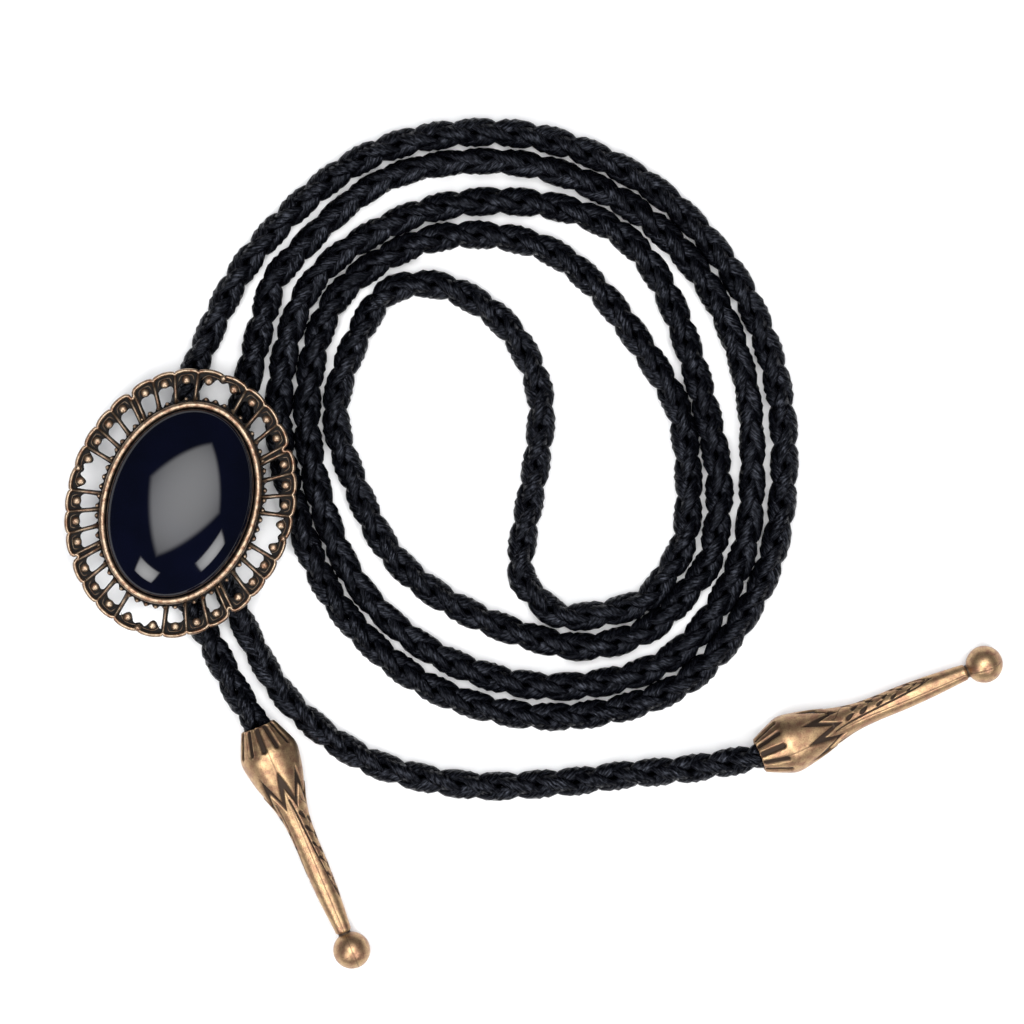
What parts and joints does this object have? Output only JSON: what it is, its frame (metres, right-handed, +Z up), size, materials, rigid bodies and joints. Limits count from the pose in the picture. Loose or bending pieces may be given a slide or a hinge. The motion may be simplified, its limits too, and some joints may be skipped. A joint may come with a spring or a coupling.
{
  "type": "bolo tie",
  "caption": "Bolo tie: a black braided cord laid in a coil, held by an oval pierced antique brass slide with a black domed stone, with cast tips ending in balls.",
  "frame": {"origin": "middle of the flat underside of the clip behind the slide, on the surface the tie lies on", "axes": "+Z up out of the surface, towards the face of the slide; +X along the tie as it lies, from the slide towards the coil and the right tip; +Y towards the upper end of the slide"},
  "size_m": [0.1462, 0.1324, 0.0136],
  "materials": {
    "polished_stone": "polished black cabochon, wet-looking gloss",
    "antique_brass": "antique brass plating, dark patina in the recesses",
    "plain_brass": "plain antique brass",
    "braided_leather": "black, lightly waxed, four-strand round braid"
  },
  "bodies": {
    "root": {"stone": "polished_stone", "slide_frame": "antique_brass", "back_clip": "plain_brass", "tip_left": "antique_brass", "tip_right": "antique_brass", "cord": "braided_leather"}
  },
  "joints": []
}
